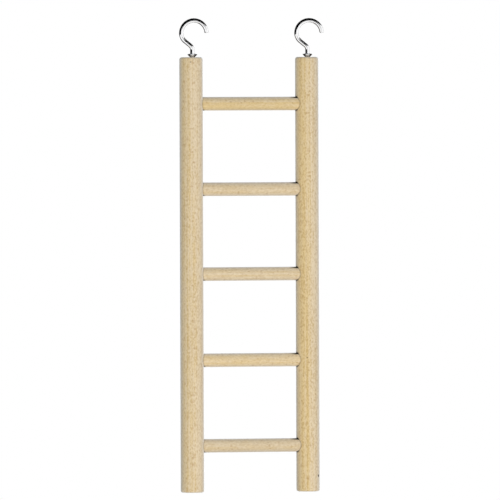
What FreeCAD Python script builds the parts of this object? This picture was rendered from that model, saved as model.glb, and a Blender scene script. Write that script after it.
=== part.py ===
import FreeCAD, Part
import math
import os

# A hanging ladder for cage birds: two round wooden rails, five round wooden rungs
# glued into blind holes in the rails, and a bright screw hook in the top of each rail.
# Millimetres and degrees. +Z is up, -Y faces the viewer and +X is the side that both
# hooks open to. The origin lies in the middle of the ladder, on the line that the
# hooks hang from: the underside of the top of their rings.

# Rails
RAIL_DIAMETER = 12.0
RAIL_TOP_EASE = 1.3
RAIL_FOOT_EASE = 1.1
TOP_MARGIN = 24.0
FOOT_MARGIN = 24.0

# Rungs
RUNG_COUNT = 5
RUNG_DIAMETER = 7.0
RUNG_PITCH = 44.0
RUNG_SPAN = 51.0
RUNG_INSERTION = 7.0
RUNG_END_EASE = 0.6

# The middle rung sits a little above its even place
MIDDLE_RUNG = 2
MIDDLE_RUNG_RISE = 0.35

# Clearances of the rungs in their holes and of the screws in theirs
SOCKET_FIT = 0.15
SOCKET_END_GAP = 0.5
PILOT_FIT = 0.1
PILOT_END_GAP = 1.0

# Wire of the hooks: a short straight shank, a neck bend, a straight slope to the left
# and the ring, whose lower left quarter is bent more tightly than the rest
WIRE_DIAMETER = 2.2
RING_INNER_DIAMETER = 11.0
RING_SIDE_OFFSET = 0.85
RING_END_ANGLE = 6.0
LOW_INNER_RADIUS = 4.2
NECK_INNER_RADIUS = 1.8
NECK_STRAIGHT = 3.5
SHANK_STRAIGHT = 1.96
WIRE_END_EASE = 0.5
HOOK_TURN = -10.0

# Each hook is screwed in a little to the right of its rail's axis
LEFT_HOOK_SHIFT = 0.75
RIGHT_HOOK_SHIFT = 0.45

# Dished collar under the shank, and the screw below it
COLLAR_DIAMETER = 4.9
COLLAR_SEAT_DIAMETER = 2.4
COLLAR_HEIGHT = 1.5
COLLAR_RIM = 0.3
COLLAR_CROWN = 0.3
SCREW_CORE_DIAMETER = 1.7
SCREW_LENGTH = 11.0
SCREW_POINT = 2.5

# Heights above the top face of the rails
wire_radius = WIRE_DIAMETER / 2
ring_radius = RING_INNER_DIAMETER / 2 + wire_radius
low_radius = LOW_INNER_RADIUS + wire_radius
low_offset = RING_SIDE_OFFSET - ring_radius + low_radius
neck_radius = NECK_INNER_RADIUS + wire_radius
neck_start = COLLAR_HEIGHT + COLLAR_CROWN + SHANK_STRAIGHT
centre_to_centre = math.hypot(low_radius + neck_radius, NECK_STRAIGHT)
sideways = low_offset + neck_radius
ring_height = neck_start + math.sqrt(centre_to_centre ** 2 - sideways ** 2)

# Places in the ladder's own frame
rail_x = RUNG_SPAN / 2 + RAIL_DIAMETER / 2
rail_top = -(ring_height + RING_INNER_DIAMETER / 2)
rail_length = TOP_MARGIN + (RUNG_COUNT - 1) * RUNG_PITCH + FOOT_MARGIN
socket_radius = RUNG_DIAMETER / 2 + SOCKET_FIT
socket_depth = RUNG_INSERTION + SOCKET_END_GAP

X_AXIS = FreeCAD.Vector(1, 0, 0)
Y_AXIS = FreeCAD.Vector(0, 1, 0)
Z_AXIS = FreeCAD.Vector(0, 0, 1)
ORIGIN = FreeCAD.Vector(0, 0, 0)
FULL_TURN = 360.0


def rung_height(index):
    """Height of a rung's axis, counted from the top."""
    rise = MIDDLE_RUNG_RISE if index == MIDDLE_RUNG else 0.0
    return rail_top - TOP_MARGIN - index * RUNG_PITCH + rise


def hook_place(side):
    """The point on a rail's top face where its hook is screwed in."""
    shift = LEFT_HOOK_SHIFT if side < 0 else RIGHT_HOOK_SHIFT
    return FreeCAD.Vector(side * rail_x + shift, 0, rail_top)


def quarter_round(centre_r, centre_z, radius, from_angle):
    """A quarter circle in the XZ plane, from one angle to the next 90 degrees on."""
    points = []
    for step in range(3):
        angle = math.radians(from_angle + 45 * step)
        x = centre_r + radius * math.cos(angle)
        z = centre_z + radius * math.sin(angle)
        points.append(FreeCAD.Vector(x, 0, z))
    return Part.Arc(*points).toShape()


def line(start, end):
    """A straight edge in the XZ plane, from radius and height to radius and height."""
    start_point = FreeCAD.Vector(start[0], 0, start[1])
    end_point = FreeCAD.Vector(end[0], 0, end[1])
    return Part.LineSegment(start_point, end_point).toShape()


def turned(edges):
    """The solid that a closed profile in the XZ plane makes when turned about Z."""
    face = Part.Face(Part.Wire(edges))
    return face.revolve(ORIGIN, Z_AXIS, FULL_TURN)


def round_rod(diameter, length, low_ease, high_ease):
    """A round rod up from the origin, with a rounded edge at each end."""
    radius = diameter / 2
    low_ease = min(low_ease, 0.9 * radius)
    high_ease = min(high_ease, 0.9 * radius)
    edges = [
        line((0, 0), (radius - low_ease, 0)),
        quarter_round(radius - low_ease, low_ease, low_ease, -90),
        line((radius, low_ease), (radius, length - high_ease)),
        quarter_round(radius - high_ease, length - high_ease, high_ease, 0),
        line((radius - high_ease, length), (0, length)),
        line((0, length), (0, 0)),
    ]
    return turned(edges)


def rung_socket(side, index):
    """The blind hole in a rail that takes the end of one rung."""
    start_x = side * (RUNG_SPAN / 2 + socket_depth)
    start = FreeCAD.Vector(start_x, 0, rung_height(index))
    length = socket_depth + RAIL_DIAMETER / 2
    return Part.makeCylinder(socket_radius, length, start, X_AXIS * -side)


def pilot_hole():
    """The blind hole in the top of a rail for the screw, up to the top face."""
    depth = SCREW_LENGTH + PILOT_END_GAP
    radius = SCREW_CORE_DIAMETER / 2 + PILOT_FIT
    return Part.makeCylinder(radius, depth, Z_AXIS * -depth, Z_AXIS)


def rail(side):
    """One rail with its rung holes on the inner side and the pilot hole on top."""
    rod = round_rod(RAIL_DIAMETER, rail_length, RAIL_FOOT_EASE, RAIL_TOP_EASE)
    rod.translate(FreeCAD.Vector(side * rail_x, 0, rail_top - rail_length))
    holes = [rung_socket(side, index) for index in range(RUNG_COUNT)]
    pilot = pilot_hole()
    pilot.translate(hook_place(side))
    holes.append(pilot)
    return rod.cut(holes)


def rung(index):
    """One rung, long enough to sit in both of its holes."""
    length = RUNG_SPAN + 2 * RUNG_INSERTION
    rod = round_rod(RUNG_DIAMETER, length, RUNG_END_EASE, RUNG_END_EASE)
    rod.rotate(ORIGIN, Y_AXIS, 90)
    rod.translate(FreeCAD.Vector(-length / 2, 0, rung_height(index)))
    return rod


def at_angle(centre, radius, degrees):
    """The point of a circle in the XZ plane at an angle."""
    angle = math.radians(degrees)
    return centre + FreeCAD.Vector(math.cos(angle), 0, math.sin(angle)) * radius


def arc_about(centre, radius, start_angle, end_angle):
    """An arc of the hook's centre line in the XZ plane, between two angles."""
    middle_angle = (start_angle + end_angle) / 2
    angles = (start_angle, middle_angle, end_angle)
    points = [at_angle(centre, radius, angle) for angle in angles]
    return Part.Arc(*points).toShape()


def hook_wire():
    """The bent wire: straight shank, neck bend to the left, straight slope and ring.

    The slope touches the neck bend and the tight lower left of the ring, which lie on
    its two sides, so the wire runs on without a corner.
    """
    base = FreeCAD.Vector(0, 0, COLLAR_HEIGHT)
    shank_end = FreeCAD.Vector(0, 0, neck_start)
    ring_centre = FreeCAD.Vector(RING_SIDE_OFFSET, 0, ring_height)
    low_centre = FreeCAD.Vector(low_offset, 0, ring_height)
    neck_centre = FreeCAD.Vector(-neck_radius, 0, neck_start)
    between = low_centre - neck_centre
    lean = math.atan2(NECK_STRAIGHT, low_radius + neck_radius)
    bend = math.degrees(math.atan2(between.z, between.x) - lean)
    slope_start = at_angle(neck_centre, neck_radius, bend)
    slope_end = at_angle(low_centre, low_radius, 180 + bend)
    path = Part.Wire([
        Part.LineSegment(base, shank_end).toShape(),
        arc_about(neck_centre, neck_radius, 0, bend),
        Part.LineSegment(slope_start, slope_end).toShape(),
        arc_about(low_centre, low_radius, 180 + bend, 180),
        arc_about(ring_centre, ring_radius, 180, RING_END_ANGLE),
    ])
    section = Part.Face(Part.Wire(Part.makeCircle(wire_radius, base, Z_AXIS)))
    return path.makePipe(section)


def wire_tip():
    """The rounded end of the wire, which points on along the ring's last tangent."""
    ease = min(WIRE_END_EASE, 0.9 * wire_radius)
    tip = round_rod(WIRE_DIAMETER, 2 * ease, 0.5 * ease, ease)
    tip.translate(Z_AXIS * -ease)
    tip.rotate(ORIGIN, Y_AXIS, 180 - RING_END_ANGLE)
    angle = math.radians(RING_END_ANGLE)
    tip_x = RING_SIDE_OFFSET + ring_radius * math.cos(angle)
    tip_z = ring_height + ring_radius * math.sin(angle)
    tip.translate(FreeCAD.Vector(tip_x, 0, tip_z))
    return tip


def collar_and_screw():
    """The dished collar that sits on the wood, with the pointed screw under it."""
    core = SCREW_CORE_DIAMETER / 2
    seat = COLLAR_SEAT_DIAMETER / 2
    rim = COLLAR_DIAMETER / 2
    crown_height = COLLAR_HEIGHT + COLLAR_CROWN
    outline = [
        (0, -SCREW_LENGTH),
        (core, SCREW_POINT - SCREW_LENGTH),
        (core, 0),
        (seat, 0),
        (rim, COLLAR_HEIGHT - COLLAR_RIM),
        (rim, COLLAR_HEIGHT),
        (wire_radius, crown_height),
        (0, crown_height),
    ]
    following = outline[1:] + outline[:1]
    return turned([line(start, end) for start, end in zip(outline, following)])


def hook(side):
    """One screw hook, standing on the top face of its rail."""
    shape = hook_wire().fuse([wire_tip(), collar_and_screw()]).removeSplitter()
    shape.rotate(ORIGIN, Z_AXIS, HOOK_TURN)
    shape.translate(hook_place(side))
    return shape


def save(name, shape):
    """Write one piece, after making sure that it is a single sound solid."""
    if len(shape.Solids) != 1 or not shape.isValid():
        raise ValueError(f"{name} isn't one valid solid")
    shape.Solids[0].exportStep(f"parts/{name}.step")


os.makedirs("parts", exist_ok=True)
for side_name, side_sign in (("left", -1), ("right", 1)):
    save(f"{side_name}_rail", rail(side_sign))
    save(f"{side_name}_hook", hook(side_sign))
for rung_index in range(RUNG_COUNT):
    save(f"rung_{rung_index + 1}", rung(rung_index))
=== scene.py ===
import math

import bpy
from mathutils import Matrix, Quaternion, Vector


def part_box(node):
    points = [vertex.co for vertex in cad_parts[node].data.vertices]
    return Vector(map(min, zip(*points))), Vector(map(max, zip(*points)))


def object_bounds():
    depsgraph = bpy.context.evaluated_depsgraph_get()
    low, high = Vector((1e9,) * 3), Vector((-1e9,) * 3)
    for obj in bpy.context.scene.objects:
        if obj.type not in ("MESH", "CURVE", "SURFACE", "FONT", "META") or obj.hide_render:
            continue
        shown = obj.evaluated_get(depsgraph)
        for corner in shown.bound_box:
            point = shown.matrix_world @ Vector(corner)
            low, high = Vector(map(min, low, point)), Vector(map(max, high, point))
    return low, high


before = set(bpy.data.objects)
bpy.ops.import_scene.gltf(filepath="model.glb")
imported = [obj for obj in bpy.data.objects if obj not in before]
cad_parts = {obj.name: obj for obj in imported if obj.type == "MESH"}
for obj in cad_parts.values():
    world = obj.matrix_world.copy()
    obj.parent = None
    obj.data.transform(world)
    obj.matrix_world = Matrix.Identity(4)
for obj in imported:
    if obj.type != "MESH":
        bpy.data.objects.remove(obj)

bl_info = {
    "name": "Hanging Bird Ladder",
    "version": (1, 0, 0),
    "blender": (4, 5, 0),
    "location": "3D View > Sidebar > Ladder",
    "description": "Finishes for a dowel ladder with bright screw hooks, and its studio",
    "category": "Object",
}

# Metres, in the ladder's own frame: +Z up, -Y to the viewer, the hang line at the origin.
MM = 0.001
CAD_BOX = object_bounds()
RAILS = ("left_rail", "right_rail")
HOOKS = ("left_hook", "right_hook")
RUNGS = tuple(sorted(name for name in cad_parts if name.startswith("rung_")))
# How far each screw is to the right of its rail's axis
SCREW_SHIFTS = {"left_rail": 0.75 * MM, "right_rail": 0.45 * MM}

# Sockets of a Mix node that mixes colours. Their names repeat, so they go by number.
MIX_SHARE = 0
MIX_FIRST = 6
MIX_SECOND = 7
MIX_COLOUR = 2


def along_view(azimuth, elevation):
    """Unit vector from the ladder towards a viewer. Azimuth 0 is in front of it, at -Y."""
    level = math.cos(elevation)
    return Vector((math.sin(azimuth) * level, -math.cos(azimuth) * level, math.sin(elevation)))


class Socket:
    """An output of a shader node. Arithmetic on values adds Math nodes to its tree."""

    def __init__(self, shader, output):
        self.shader = shader
        self.output = output

    def _math(self, operation, *values):
        sockets = dict(enumerate(values))
        return self.shader.node("ShaderNodeMath", {"operation": operation}, sockets)

    def __add__(self, other):
        return self._math("ADD", self, other)

    def __radd__(self, other):
        return self._math("ADD", other, self)

    def __sub__(self, other):
        return self._math("SUBTRACT", self, other)

    def __rsub__(self, other):
        return self._math("SUBTRACT", other, self)

    def __mul__(self, other):
        return self._math("MULTIPLY", self, other)

    def __rmul__(self, other):
        return self._math("MULTIPLY", other, self)

    def __truediv__(self, other):
        return self._math("DIVIDE", self, other)

    def __rtruediv__(self, other):
        return self._math("DIVIDE", other, self)

    def __pow__(self, other):
        return self._math("POWER", self, other)

    def __mod__(self, other):
        return self._math("FLOORED_MODULO", self, other)

    def __abs__(self):
        return self._math("ABSOLUTE", self)


class Shader:
    """Adds nodes to one node tree."""

    def __init__(self, tree):
        self.tree = tree
        self.tree.nodes.clear()

    def node(self, kind, settings=None, sockets=None, output=0):
        """Add a node: its settings first, then the values or links of its sockets."""
        made = self.tree.nodes.new(kind)
        for name, value in (settings or {}).items():
            setattr(made, name, value)
        for name, value in (sockets or {}).items():
            if isinstance(value, Socket):
                self.tree.links.new(value.output, made.inputs[name])
            else:
                made.inputs[name].default_value = value
        if not made.outputs:
            return None
        return Socket(self, made.outputs[output])

    def other_output(self, socket, name):
        """Another output of the node that a socket belongs to."""
        return Socket(self, socket.output.node.outputs[name])

    def shown_rays(self):
        """1 for the rays that show a background: the camera's, gloss and glass."""
        path = self.node("ShaderNodeLightPath")
        shown = self.other_output(path, "Is Camera Ray")
        for kind in ("Is Glossy Ray", "Is Transmission Ray"):
            sockets = {0: shown, 1: self.other_output(path, kind)}
            shown = self.node("ShaderNodeMath", {"operation": "MAXIMUM"}, sockets)
        return shown

    def position(self):
        """The point that is shaded, in metres in the object's frame: a CAD piece has the ladder's."""
        return self.node("ShaderNodeTexCoord", output="Object")

    def parts(self, vector):
        """The three parts of a vector, as values."""
        split = self.node("ShaderNodeSeparateXYZ", sockets={0: vector})
        return [Socket(self, output) for output in split.output.node.outputs]

    def vector(self, x, y, z):
        return self.node("ShaderNodeCombineXYZ", sockets={0: x, 1: y, 2: z})

    def vector_math(self, operation, first, second, output=0):
        settings = {"operation": operation}
        return self.node("ShaderNodeVectorMath", settings, {0: first, 1: second}, output)

    def noise(self, vector, sizes, detail=2.0, roughness=0.5):
        """Soft noise from 0 to 1, with features of the given sizes."""
        sockets = {
            "Vector": self.vector_math("DIVIDE", vector, sizes),
            "Scale": 1.0,
            "Detail": detail,
            "Roughness": roughness,
        }
        return self.node("ShaderNodeTexNoise", sockets=sockets)

    def cells(self, vector, sizes):
        """Scattered cells of the given sizes: how far off the nearest one's middle is."""
        sockets = {"Vector": self.vector_math("DIVIDE", vector, sizes), "Scale": 1.0}
        return self.node("ShaderNodeTexVoronoi", sockets=sockets)

    def step(self, value, low, high):
        """A smooth step: 0 where the value is at low, 1 where it is at high."""
        settings = {"interpolation_type": "SMOOTHSTEP", "clamp": True}
        return self.node("ShaderNodeMapRange", settings, {0: value, 1: low, 2: high})

    def mix(self, blend_type, share, first, second):
        """Mix two colours in one of the ways of the Mix node."""
        settings = {"data_type": "RGBA", "blend_type": blend_type, "clamp_factor": True}
        sockets = {MIX_SHARE: share, MIX_FIRST: first, MIX_SECOND: second}
        return self.node("ShaderNodeMix", settings, sockets, MIX_COLOUR)

    def blend(self, share, first, second):
        """Go from one colour to another as the share goes from 0 to 1."""
        return self.mix("MIX", share, first, second)

    def tint(self, share, first, second):
        """Multiply a colour by another, as far as the share says."""
        return self.mix("MULTIPLY", share, first, second)


def new_finish(name):
    """An empty material and the shader that fills it."""
    material = bpy.data.materials.new(name)
    material.use_nodes = True
    return material, Shader(material.node_tree)


def put_finish(node, material):
    """Give a piece of the frame its material."""
    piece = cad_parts[node]
    if not piece.material_slots:
        piece.data.materials.append(material)
    for slot in piece.material_slots:
        slot.material = material


def rgba(colour):
    return (*colour, 1.0)


# Features of the wood in millimetres: radial, tangential and along the grain
RING_WANDER_SIZE = (14.0, 14.0, 60.0)
BAND_SIZE = (7.0, 7.0, 45.0)
STREAK_SIZE = (1.0, 1.0, 14.0)
LINE_SIZE = (0.9, 0.9, 90.0)
MOTTLE_SIZE = (0.75, 0.75, 1.3)
FIBRE_SIZE = (0.3, 0.3, 1.6)
PATCH_SIZE = (1.8, 1.8, 5.0)
PORE_SIZE = (0.55, 0.55, 3.0)
# The cell that a ray fleck lies in: its depth in millimetres, its width and length in flecks
FLECK_CELL_DEPTH = 4.0
FLECK_CELL_WIDTHS = 4
FLECK_CELL_LENGTHS = 2
# How far the growth rings wander in millimetres, and where the dark late wood of one ends
RING_WANDER = 1.6
LATE_WOOD_END = (1.0, 0.9)
# Flecks and pores fade in towards the middle of their cell. A cell's random number says
# how much of a fleck it holds: none up to the first number, a full one from the second.
FLECK_FADE = (0.36, 0.14)
FLECK_CHANCE = (0.2, 0.7)
PORE_FADE = (0.3, 0.12)
FIBRE_FADE = (0.3, 0.7)
# A dowel gets yellower away from the pith, between these millimetres from its axis
YELLOW_SIDE_FADE = (-4.0, 5.0)
# How far a surface has to face along the grain to show cut ends
CUT_END_FADE = (0.55, 0.95)
# The mean of the weighted features, and how warm the wood is there
MEAN_FIGURE = 2.55
MEAN_WARMTH = 0.3
SURFACE_RELIEF = 0.08 * MM


class Grain:
    """How one dowel was cut from its log. Sizes in millimetres, angles in degrees.

    The pith lies off the dowel's side, so the growth rings cross the dowel as wide arcs.
    Drift is how far they move off per millimetre along the dowel, and shift moves the
    grain along it. Warmth, light and contrast set its colour apart from the others'.
    """

    def __init__(
        self, node, growth_angle, pith_distance, drift, shift, warmth, light=1.0, contrast=1.0
    ):
        low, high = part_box(node)
        sides = high - low
        self.centre = (low + high) / 2
        self.along = max(range(3), key=lambda axis: sides[axis])
        self.across = [axis for axis in range(3) if axis != self.along]
        self.growth_angle = math.radians(growth_angle)
        self.pith_distance = pith_distance
        self.drift = drift
        self.shift = shift
        self.warmth = warmth
        self.light = light
        self.contrast = contrast


def growth_frame(shader, grain):
    """Radial, tangential and lengthwise place in the log, in millimetres."""
    centred = shader.vector_math("SUBTRACT", shader.position(), tuple(grain.centre))
    parts = shader.parts(shader.vector_math("DIVIDE", centred, (MM, MM, MM)))
    across = [parts[axis] for axis in grain.across]
    along = parts[grain.along]
    cosine = math.cos(grain.growth_angle)
    sine = math.sin(grain.growth_angle)
    outward = across[0] * cosine + across[1] * sine + grain.pith_distance
    sideways = across[1] * cosine - across[0] * sine
    radial = (outward * outward + sideways * sideways) ** 0.5
    tangential = sideways * grain.pith_distance / outward
    return radial, tangential, along


def wood_finish(name, wood, grain, marks):
    """Sanded bare wood: growth rings, fibres, ray flecks, pores and end grain, with dark knots and
    painted shade.
    """
    material, shader = new_finish(name)
    radial, tangential, along = growth_frame(shader, grain)
    place = shader.vector(radial, tangential, along + grain.shift)

    wander = shader.noise(place, RING_WANDER_SIZE, detail=1.0) - 0.5
    across_rings = radial + along * grain.drift + wander * RING_WANDER
    in_ring = across_rings / (wood.ring_width / MM) % 1.0
    late_wood = in_ring ** 3.0 * shader.step(in_ring, *LATE_WOOD_END)

    bands = shader.noise(place, BAND_SIZE)
    streaks = shader.noise(place, STREAK_SIZE, roughness=0.6)
    lines = shader.noise(place, LINE_SIZE, detail=1.0) - 0.5
    mottle = shader.noise(place, MOTTLE_SIZE, roughness=0.6)
    fibres = shader.noise(place, FIBRE_SIZE, roughness=0.65)
    patches = shader.noise(place, PATCH_SIZE) - 0.5

    fleck_cell = (
        FLECK_CELL_DEPTH,
        FLECK_CELL_WIDTHS * wood.fleck_width / MM,
        FLECK_CELL_LENGTHS * wood.fleck_length / MM,
    )
    from_fleck = shader.cells(place, fleck_cell)
    chance = shader.parts(shader.other_output(from_fleck, "Color"))[0]
    flecks = shader.step(from_fleck, *FLECK_FADE) * shader.step(chance, *FLECK_CHANCE)
    pores = shader.step(shader.cells(place, PORE_SIZE), *PORE_FADE)

    figure = bands * 0.5 + streaks * 0.9 + lines * 0.9 + mottle * 3.5 + late_wood * 0.4
    warmer = (figure - MEAN_FIGURE) * grain.contrast + MEAN_WARMTH
    yellow_side = shader.step(radial - grain.pith_distance, *YELLOW_SIDE_FADE)
    yellower = (yellow_side * 1.1 - 0.05) * grain.warmth + patches * 1.1 + lines * 1.6
    colour = shader.blend(warmer, rgba(wood.pale), rgba(wood.warm))
    colour = shader.tint(yellower, colour, rgba(wood.honey))
    colour = shader.tint(shader.step(fibres, *FIBRE_FADE), colour, rgba(wood.fibre))
    colour = shader.tint(flecks * wood.fleck_strength, colour, rgba(wood.fleck))
    colour = shader.tint(pores * 0.3, colour, rgba(wood.fleck))

    normal = shader.node("ShaderNodeNewGeometry", output="Normal")
    facing = abs(shader.parts(normal)[grain.along])
    cut_end = shader.step(facing, *CUT_END_FADE)
    colour = shader.tint(cut_end * 0.2, colour, rgba(wood.end_grain))
    if grain.light != 1.0:
        colour = shader.tint(1.0, colour, rgba((grain.light,) * 3))

    height = fibres * 0.6 + mottle * 0.5 - pores * 0.5 + flecks * 0.25
    relief = {"Strength": 0.35, "Distance": SURFACE_RELIEF, "Height": height}
    bare = shader.node("ShaderNodeBsdfPrincipled", sockets={
        "Base Color": colour,
        "Roughness": wood.roughness + fibres * 0.12 - flecks * 0.1,
        "Sheen Weight": wood.fuzz,
        "Sheen Roughness": 0.5,
        "Normal": shader.node("ShaderNodeBump", sockets=relief),
    })
    # The dark layer: knots, and painted shade at the holes, joints and screws
    dark = shader.node("ShaderNodeBsdfDiffuse", sockets={"Color": rgba(wood.dark)})
    surface = shader.node("ShaderNodeMixShader", sockets={0: marks(shader), 1: bare, 2: dark})
    shader.node("ShaderNodeOutputMaterial", sockets={"Surface": surface})
    return material


# Fades of the dark marks, most of them painted shade. Each says where a mark starts to show and where
# it is full.
# Painted shade in the gap round a rung hole, measured outwards from the side of the rung
RIM_FADE = (0.5 * MM, 0.2 * MM)
RIM_DARKNESS = 0.1
CORNER_FADE = (0.7 * MM, 0.1 * MM)
# Painted shade in the corners above and below a rung: how high in radii of the rung, and how far from a
# middle that lies a little in front of the rung's axis. Those above it get more painted shade.
CORNER_HEIGHT_FADE = (0.8, 0.95)
CORNER_DEPTH_FADE = (2.2 * MM, 1.3 * MM)
CORNER_FORWARD = 0.4 * MM
CORNER_DARKNESS = 0.6
ABOVE_AXIS_FADE = (-0.1 * MM, 0.1 * MM)
ABOVE_AXIS_MORE = 0.2
# Painted shade beside a screw: from its axis, to its sides, and up to the rail's top face
SCREW_SHADE_FADE = (3.0 * MM, 2.0 * MM)
SCREW_SHADE_SIDE_FADE = (0.6 * MM, 1.2 * MM)
SCREW_SHADE_HEIGHT_FADE = (-1.0 * MM, -0.5 * MM)
SCREW_SHADE_DARKNESS = 0.3
# Painted shade on a rung: from the rail that it enters, and how high in radii of the rung. The
# painted shadow of the right rail, a wedge along the rung's top, lies on the right half alone.
JOINT_SHADE_FADE = (0.7 * MM, 0.15 * MM)
JOINT_SHADE_DARKNESS = 0.3
LOW_SHADE_FADE = (1.6 * MM, 0.4 * MM)
LOW_SHADE_HEIGHT_FADE = (-0.7, -0.95)
LOW_SHADE_DARKNESS = 0.6
RAIL_SHADOW_FADE = (5.4 * MM, 0.2 * MM)
RAIL_SHADOW_HEIGHT_FADE = (0.74, 0.82)
RIGHT_HALF_FADE = (0.0, 1.0 * MM)

# A rung that is further than this from its even place has the painted shade round its hole
# moved with it. The move fades out at this distance from the rung's axis.
LEAST_RISE = 0.05 * MM
RISE_FADE = (10.0 * MM, 9.0 * MM)

# Knots and specks: height above the rail's foot, bearing in degrees round the rail
# (0 faces the viewer, 90 is to the right), radius and darkness. The core, as a share of
# the radius, is dark throughout.
KNOTS = {
    "left_rail": (
        (221.5 * MM, -22.0, 0.5 * MM, 0.5),
        (222.6 * MM, -8.0, 0.4 * MM, 0.4),
    ),
    "right_rail": (
        (8.1 * MM, 44.0, 0.9 * MM, 0.9),
        (69.0 * MM, -21.0, 0.45 * MM, 0.6),
    ),
}
KNOT_CORE = 0.35


def hole_painted_shade(shader, y, z):
    """Painted shade in the rims and corners round the rung holes, repeated down the rail at the rungs'
    pitch.
    """
    heights = [(low.z + high.z) / 2 for low, high in map(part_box, RUNGS)]
    pitch = (heights[0] - heights[-1]) / (len(heights) - 1)
    low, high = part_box(RUNGS[0])
    radius = (high.z - low.z) / 2
    even = z
    for index, height in enumerate(heights):
        rise = height - (heights[0] - index * pitch)
        if abs(rise) > LEAST_RISE:
            even = even - shader.step(abs(z - height), *RISE_FADE) * rise
    offset = (even - heights[0] + pitch / 2) % pitch - pitch / 2
    outside = (offset * offset + y * y) ** 0.5 - radius
    rim = shader.step(outside, *RIM_FADE)
    corner = shader.step(abs(offset) / radius, *CORNER_HEIGHT_FADE)
    corner = corner * shader.step(abs(y + CORNER_FORWARD), *CORNER_DEPTH_FADE)
    corner = corner * shader.step(outside, *CORNER_FADE)
    above = shader.step(offset, *ABOVE_AXIS_FADE)
    return rim * RIM_DARKNESS + corner * (above * ABOVE_AXIS_MORE + CORNER_DARKNESS)


def screw_painted_shade(shader, x, y, z):
    """Painted shade on the wood at both sides of a screw, measured from where it enters the rail."""
    from_screw = (x * x + y * y) ** 0.5
    painted_shade = shader.step(from_screw, *SCREW_SHADE_FADE) * shader.step(abs(x), *SCREW_SHADE_SIDE_FADE)
    return painted_shade * shader.step(z, *SCREW_SHADE_HEIGHT_FADE) * SCREW_SHADE_DARKNESS


def rail_knots_and_shade(rail):
    """Where a rail is dark: painted shade round its rung holes and beside its screw, and its knots."""
    low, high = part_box(rail)
    axis = (low + high) / 2
    radius = (high.y - low.y) / 2
    inwards = 1 if axis.x < 0 else -1

    def share(shader):
        place = shader.position()
        x, y, z = shader.parts(place)
        inner_side = shader.step((x - axis.x) * inwards, 0.0, radius / 3)
        dark = hole_painted_shade(shader, y, z) * inner_side
        dark = dark + screw_painted_shade(shader, x - axis.x - SCREW_SHIFTS[rail], y, z - high.z)
        for height, bearing, size, darkness in KNOTS[rail]:
            on_axis = Vector((axis.x, axis.y, low.z + height))
            knot = on_axis + along_view(math.radians(bearing), 0.0) * radius
            away = shader.vector_math("DISTANCE", place, tuple(knot), "Value")
            dark = dark + shader.step(away, size, size * KNOT_CORE) * darkness
        return dark

    return share


def rung_painted_shade(rung):
    """Where a rung is dark, all painted shade: lines and low spots at both ends, a shadow wedge at the
    top right.
    """
    low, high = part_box(rung)
    axis = (low + high) / 2
    radius = (high.z - low.z) / 2
    rail_low, rail_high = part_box("right_rail")
    rail_axis = (rail_low + rail_high) / 2
    rail_radius = (rail_high.y - rail_low.y) / 2

    def share(shader):
        x, y, z = shader.parts(shader.position())
        rail_side = (rail_radius ** 2 - y * y) ** 0.5
        before_rail = rail_axis.x - rail_side - abs(x)
        height = (z - axis.z) / radius
        # Painted shade where the rung enters the rails, and the right rail's painted shadow on its top
        joint_shade = shader.step(before_rail, *JOINT_SHADE_FADE)
        low_shade = shader.step(before_rail, *LOW_SHADE_FADE) * shader.step(height, *LOW_SHADE_HEIGHT_FADE)
        wedge = shader.step(before_rail, *RAIL_SHADOW_FADE) * shader.step(height, *RAIL_SHADOW_HEIGHT_FADE)
        wedge = wedge * shader.step(x, *RIGHT_HALF_FADE)
        return joint_shade * JOINT_SHADE_DARKNESS + low_shade * LOW_SHADE_DARKNESS + wedge

    return share


# Features of the plating
SMUDGE_SIZE = (3.5 * MM, 3.5 * MM, 3.5 * MM)
SMUDGE_FADE = (0.45, 0.75)
DRAWN_LINE_SIZE = (0.15 * MM, 0.15 * MM, 1.5 * MM)
DRAWN_LINE_RELIEF = 0.01 * MM
# The collar's top, up from the rail's top face, and its sides with painted shade, out from its middle
COLLAR_TOP_FADE = (1.9 * MM, 1.7 * MM)
COLLAR_SIDE_FADE = (0.6 * MM, 1.3 * MM)


def wire_finish(name, wire, screw):
    """Bright plated wire with drawn lines and smudges, above a duller collar with painted shade on its
    sides.
    """
    material, shader = new_finish(name)
    place = shader.position()
    smudges = shader.noise(place, SMUDGE_SIZE, detail=3.0)
    colour = shader.blend(smudges * 0.35, rgba(wire.bright), rgba(wire.dull))
    x, y, z = shader.parts(shader.vector_math("SUBTRACT", place, tuple(screw)))
    collar = shader.step(z, *COLLAR_TOP_FADE)
    across = along_view(wire.painted_shade_bearing, 0.0)
    aside = abs(x * across.x + y * across.y)
    painted_shade = shader.step(aside, *COLLAR_SIDE_FADE) * collar
    # Painted shade on the collar's sides
    colour = shader.tint(painted_shade, colour, rgba(wire.painted_shade))
    lines = shader.noise(place, DRAWN_LINE_SIZE)
    relief = {"Strength": 0.12, "Distance": DRAWN_LINE_RELIEF, "Height": lines}
    smudged = shader.step(smudges, *SMUDGE_FADE)
    surface = shader.node("ShaderNodeBsdfPrincipled", sockets={
        "Base Color": colour,
        "Metallic": 1.0 - collar * 0.6,
        "Roughness": wire.roughness + smudged * 0.08 + collar * 0.15,
        "Normal": shader.node("ShaderNodeBump", sockets=relief),
    })
    shader.node("ShaderNodeOutputMaterial", sockets={"Surface": surface})
    return material


def colour_property(name, description, default):
    return bpy.props.FloatVectorProperty(
        name=name, description=description, default=default, subtype="COLOR", size=3, min=0.0, max=1.0
    )


def share_property(name, description, default):
    return bpy.props.FloatProperty(
        name=name, description=description, default=default, subtype="FACTOR", min=0.0, max=1.0
    )


def length_property(name, description, default, least):
    return bpy.props.FloatProperty(
        name=name, description=description, default=default, unit="LENGTH", min=least
    )


def angle_property(name, description, degrees):
    return bpy.props.FloatProperty(
        name=name, description=description, default=math.radians(degrees), subtype="ANGLE"
    )


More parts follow.
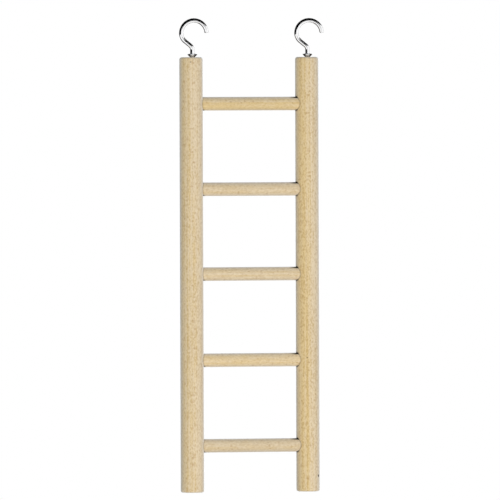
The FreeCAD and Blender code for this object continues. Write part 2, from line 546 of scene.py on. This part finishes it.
class LadderWood(bpy.types.PropertyGroup):
    """Colours and sizes of the bare wood"""

    pale: colour_property("Pale wood", "Lightest colour of the wood", (0.815, 0.66, 0.445))
    warm: colour_property("Warm wood", "Colour of the darker streaks", (0.64, 0.47, 0.25))
    honey: colour_property("Honey tint", "Tint of the yellower wood", (0.97, 0.90, 0.66))
    fibre: colour_property("Fibre tint", "Tint of the finest fibres", (0.90, 0.87, 0.82))
    fleck: colour_property("Fleck tint", "Tint of the ray flecks and pores", (0.70, 0.56, 0.40))
    end_grain: colour_property("End grain tint", "Tint of the cut ends", (0.78, 0.70, 0.60))
    # The knots' own colour, and the colour of the painted shade at the rung holes, rung ends and screws
    dark: colour_property("Dark marks", "Colour of hole rims, corners and knots", (0.03, 0.022, 0.016))
    ring_width: length_property("Ring width", "Width of a growth ring", 2.4 * MM, 0.2 * MM)
    fleck_width: length_property("Fleck width", "Width of a ray fleck", 0.28 * MM, 0.05 * MM)
    fleck_length: length_property("Fleck length", "Length of a ray fleck", 1.1 * MM, 0.1 * MM)
    fleck_strength: share_property("Fleck strength", "How dark the ray flecks are", 0.5)
    roughness: share_property("Roughness", "Roughness of the sanded wood", 0.5)
    fuzz: share_property("Fuzz", "Pale sheen of the raised fibres", 1.0)


class LadderWire(bpy.types.PropertyGroup):
    """Plating of the hooks and their collars"""

    bright: colour_property("Bright metal", "Colour of clean plating", (0.98, 0.98, 0.985))
    dull: colour_property("Dull metal", "Colour of handled plating", (0.90, 0.90, 0.91))
    # Colour and bearing of the painted shade on the collars' sides
    painted_shade: colour_property("Collar painted shade", "Tint of the collar's dark sides", (0.08, 0.075, 0.07))
    painted_shade_bearing: angle_property("Painted shade bearing", "Bearing of the collar's dark sides", 71.0)
    roughness: share_property("Roughness", "Roughness of clean plating", 0.06)


class LadderStudio(bpy.types.PropertyGroup):
    """Floor and camera"""

    floor_drop: length_property("Floor drop", "Floor below the hanging feet", 0.9, 0.0)
    floor_size: length_property("Floor size", "Side of the floor", 6.0, 1.0)
    azimuth: angle_property("Azimuth", "Turn of the camera round the ladder", -19.0)
    elevation: angle_property("Elevation", "Height of the camera as an angle", 0.5)
    roll: angle_property("Roll", "Tilt of the camera", -0.2)
    distance: length_property("Distance", "Camera to ladder", 9.0, 0.5)
    picture_height: length_property("Picture height", "Height of the picture there", 0.2575, 0.01)
    aim: bpy.props.FloatVectorProperty(
        name="Aim", description="Point in the middle of the picture",
        default=(0.00025, 0.0, -0.1172), subtype="XYZ", unit="LENGTH"
    )


class LADDER_OT_rails(bpy.types.Operator):
    """Finish both rails in bare wood"""

    bl_idname = "ladder.rails"
    bl_label = "Finish the rails"

    def execute(self, context):
        cuts = {
            "left_rail": Grain(
                "left_rail", growth_angle=158.0, pith_distance=60.0, drift=0.004, shift=0.0, warmth=0.72
            ),
            "right_rail": Grain(
                "right_rail", growth_angle=166.0, pith_distance=75.0, drift=-0.003, shift=400.0,
                warmth=1.15, light=1.01, contrast=1.25
            ),
        }
        for rail in RAILS:
            finish = wood_finish(
                f"{rail}_wood", context.scene.ladder_wood, cuts[rail], rail_knots_and_shade(rail)
            )
            put_finish(rail, finish)
        return {"FINISHED"}


class LADDER_OT_rungs(bpy.types.Operator):
    """Finish every rung in bare wood, each with its own grain"""

    bl_idname = "ladder.rungs"
    bl_label = "Finish the rungs"

    def execute(self, context):
        warmths = (1.08, 0.07, 0.14, 0.45, 0.07)
        lights = (1.0, 1.0, 1.0, 1.04, 0.95)
        growth_angles = (-125.0, -60.0, 120.0, 180.0, -90.0)
        for index, rung in enumerate(RUNGS):
            pick = index % len(warmths)
            cut = Grain(
                rung, growth_angle=growth_angles[pick], pith_distance=50.0 + 9.0 * index, drift=0.006,
                shift=90.0 * index, warmth=warmths[pick], light=lights[pick], contrast=0.55
            )
            finish = wood_finish(f"{rung}_wood", context.scene.ladder_wood, cut, rung_painted_shade(rung))
            put_finish(rung, finish)
        return {"FINISHED"}


class LADDER_OT_hooks(bpy.types.Operator):
    """Finish both screw hooks in bright plating"""

    bl_idname = "ladder.hooks"
    bl_label = "Finish the hooks"

    def execute(self, context):
        for hook, rail in zip(HOOKS, RAILS):
            low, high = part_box(rail)
            axis = (low + high) / 2
            screw = Vector((axis.x + SCREW_SHIFTS[rail], axis.y, high.z))
            put_finish(hook, wire_finish(f"{hook}_wire", context.scene.ladder_wire, screw))
        return {"FINISHED"}


WHITE = (1.0, 1.0, 1.0)
AIR_COLOUR = (0.90, 1.0, 1.13)
AIR_STRENGTH = 0.46
LAMP_COLOUR = (1.0, 0.99, 0.965)
LAMP_DISTANCE = 1.7
FLOOR_COLOUR = (0.6, 0.6, 0.6)
# Where the floor starts to fade to white and where it is white, out from its middle
FLOOR_FADE = (0.12, 0.42)
CARD_COLOUR = (0.004, 0.004, 0.004)
# The tops of the hooks' rings mirror what lies this far round to the camera's right. The
# two cards for them stand there, this far from the ladder.
RING_TOP_TURN = math.radians(18.0)
RING_TOP_DISTANCE = 1.1
RING_TOP_RIGHT = RING_TOP_DISTANCE * math.sin(RING_TOP_TURN)
RING_TOP_NEAR = RING_TOP_DISTANCE * math.cos(RING_TOP_TURN)
# Each card's middle, to the camera's right, up and nearer to it than the ladder's origin,
# and the directions and lengths of its two sides
CARDS = {
    "card_over": ((0.2, 0.5, 0.2), {"right": 1.6, "near": 3.1}),
    "card_side": ((-0.6, 0.195, 0.2), {"near": 3.1, "up": 0.61}),
    "card_left": ((-0.4, 0.21, 1.75), {"right": 0.4, "up": 0.58}),
    "card_top": ((0.4, 0.35, 1.75), {"right": 1.2, "up": 0.3}),
    "card_low": ((RING_TOP_RIGHT - 0.045, -0.24, RING_TOP_NEAR), {"right": 0.49, "up": 0.4}),
    "card_high": ((RING_TOP_RIGHT, 0.27, RING_TOP_NEAR), {"right": 0.4, "up": 0.46}),
    "card_back": ((-0.5, -0.2, -1.0), {"right": 2.4, "up": 1.8}),
    "card_corner": ((-1.7, -0.7, -0.45), {"near": 1.1, "up": 0.8}),
    "card_under": ((-1.0, -1.1, -0.8), {"right": 1.4, "near": 2.4}),
}
CAMERA_SEES_FROM = 0.1
CAMERA_SEES_TO = 20.0


def lamp(name, azimuth, elevation, size, energy, aim):
    """A soft square lamp that faces the ladder. The bright wire doesn't mirror it."""
    data = bpy.data.lights.new(name, "AREA")
    data.shape = "SQUARE"
    data.size = size
    data.energy = energy
    data.color = LAMP_COLOUR
    piece = bpy.data.objects.new(name, data)
    towards = along_view(math.radians(azimuth), math.radians(elevation))
    piece.location = aim + towards * LAMP_DISTANCE
    piece.rotation_mode = "QUATERNION"
    piece.rotation_quaternion = towards.to_track_quat("Z", "Y")
    piece.visible_glossy = False
    bpy.context.scene.collection.objects.link(piece)


def make_world():
    """White behind the ladder for the camera and for gloss, and a dim soft light."""
    world = bpy.data.worlds.new("studio_air")
    world.use_nodes = True
    bpy.context.scene.world = world
    shader = Shader(world.node_tree)
    air = {"Color": rgba(AIR_COLOUR), "Strength": AIR_STRENGTH}
    dim = shader.node("ShaderNodeBackground", sockets=air)
    plain = shader.node("ShaderNodeBackground", sockets={"Color": rgba(WHITE), "Strength": 1.0})
    surface = shader.node("ShaderNodeMixShader", sockets={0: shader.shown_rays(), 1: dim, 2: plain})
    shader.node("ShaderNodeOutputWorld", sockets={"Surface": surface})


def flat_piece(name, centre, width_side, height_side, material):
    """A flat panel of the studio, from its middle and its two sides."""
    corners = [
        centre - width_side / 2 - height_side / 2,
        centre + width_side / 2 - height_side / 2,
        centre + width_side / 2 + height_side / 2,
        centre - width_side / 2 + height_side / 2,
    ]
    mesh = bpy.data.meshes.new(name)
    mesh.from_pydata(corners, [], [(0, 1, 2, 3)])
    mesh.materials.append(material)
    piece = bpy.data.objects.new(name, mesh)
    bpy.context.scene.collection.objects.link(piece)
    return piece


def make_floor(studio):
    """A pale floor that keeps the shadow under the ladder and fades to white."""
    material, shader = new_finish("pale_floor")
    reach = shader.vector_math("LENGTH", shader.position(), (0, 0, 0), "Value")
    far = shader.step(reach, *FLOOR_FADE) * shader.shown_rays()
    pale = shader.node("ShaderNodeBsdfDiffuse", sockets={"Color": rgba(FLOOR_COLOUR)})
    plain = shader.node("ShaderNodeEmission", sockets={"Color": rgba(WHITE), "Strength": 1.0})
    surface = shader.node("ShaderNodeMixShader", sockets={0: far, 1: pale, 2: plain})
    shader.node("ShaderNodeOutputMaterial", sockets={"Surface": surface})
    right = Vector((studio.floor_size, 0, 0))
    away = Vector((0, studio.floor_size, 0))
    floor = flat_piece("studio_floor", Vector((0, 0, 0)), right, away, material)
    floor.location = (0, 0, CAD_BOX[0].z - studio.floor_drop)


def dark_cards(studio):
    """Black cards round the ladder that give the bright wire its dark lines.

    Only the gloss of the hooks sees them.
    """
    material, shader = new_finish("card_black")
    black = shader.node("ShaderNodeBsdfDiffuse", sockets={"Color": rgba(CARD_COLOUR)})
    shader.node("ShaderNodeOutputMaterial", sockets={"Surface": black})
    near = along_view(studio.azimuth, 0.0)
    right = Vector((-near.y, near.x, 0.0))
    up = Vector((0, 0, 1))
    ways = {"right": right, "up": up, "near": near}
    for name, (middle, sides) in CARDS.items():
        centre = right * middle[0] + up * middle[1] + near * middle[2]
        width_side, height_side = [ways[way] * length for way, length in sides.items()]
        card = flat_piece(name, centre, width_side, height_side, material)
        card.visible_camera = False
        card.visible_diffuse = False
        card.visible_shadow = False


def make_camera(studio, aim):
    """A long lens far off, because the photo shows hardly any perspective."""
    scene = bpy.context.scene
    towards = along_view(studio.azimuth, studio.elevation)
    data = bpy.data.cameras.new("camera")
    data.lens = data.sensor_width * studio.distance / studio.picture_height
    data.clip_start = CAMERA_SEES_FROM
    data.clip_end = CAMERA_SEES_TO
    camera = bpy.data.objects.new("camera", data)
    camera.location = aim + towards * studio.distance
    camera.rotation_mode = "QUATERNION"
    roll = Quaternion(towards, studio.roll)
    camera.rotation_quaternion = roll @ towards.to_track_quat("Z", "Y")
    scene.collection.objects.link(camera)
    scene.camera = camera


class LADDER_OT_studio(bpy.types.Operator):
    """Set up the floor, the soft light and the camera"""

    bl_idname = "ladder.studio"
    bl_label = "Set up the studio"

    def execute(self, context):
        studio = context.scene.ladder_studio
        context.scene.view_settings.view_transform = "Standard"
        aim = Vector(studio.aim)
        make_world()
        make_floor(studio)
        lamp("key_lamp", azimuth=-7.0, elevation=-11.0, size=0.7, energy=18.4, aim=aim)
        lamp("rear_lamp", azimuth=161.0, elevation=10.0, size=0.5, energy=9.0, aim=aim)
        dark_cards(studio)
        make_camera(studio, aim)
        return {"FINISHED"}


class LADDER_PT_panel(bpy.types.Panel):
    """Buttons and settings of the ladder"""

    bl_idname = "LADDER_PT_panel"
    bl_label = "Bird ladder"
    bl_space_type = "VIEW_3D"
    bl_region_type = "UI"
    bl_category = "Ladder"

    def draw(self, context):
        for operator in OPERATORS:
            self.layout.operator(operator.bl_idname)
        for name in GROUPS:
            group = getattr(context.scene, name)
            box = self.layout.box()
            for field in group.__annotations__:
                box.prop(group, field)


OPERATORS = (LADDER_OT_rails, LADDER_OT_rungs, LADDER_OT_hooks, LADDER_OT_studio)
GROUPS = {"ladder_wood": LadderWood, "ladder_wire": LadderWire, "ladder_studio": LadderStudio}


def register():
    for group in GROUPS.values():
        bpy.utils.register_class(group)
    for name, group in GROUPS.items():
        setattr(bpy.types.Scene, name, bpy.props.PointerProperty(type=group))
    for operator in OPERATORS:
        bpy.utils.register_class(operator)
    bpy.utils.register_class(LADDER_PT_panel)


def unregister():
    bpy.utils.unregister_class(LADDER_PT_panel)
    for operator in reversed(OPERATORS):
        bpy.utils.unregister_class(operator)
    for name in GROUPS:
        delattr(bpy.types.Scene, name)
    for group in reversed(GROUPS.values()):
        bpy.utils.unregister_class(group)


def main():
    register()
    bpy.ops.ladder.rails()
    bpy.ops.ladder.rungs()
    bpy.ops.ladder.hooks()
    bpy.ops.ladder.studio()


if __name__ == "__main__":
    main()
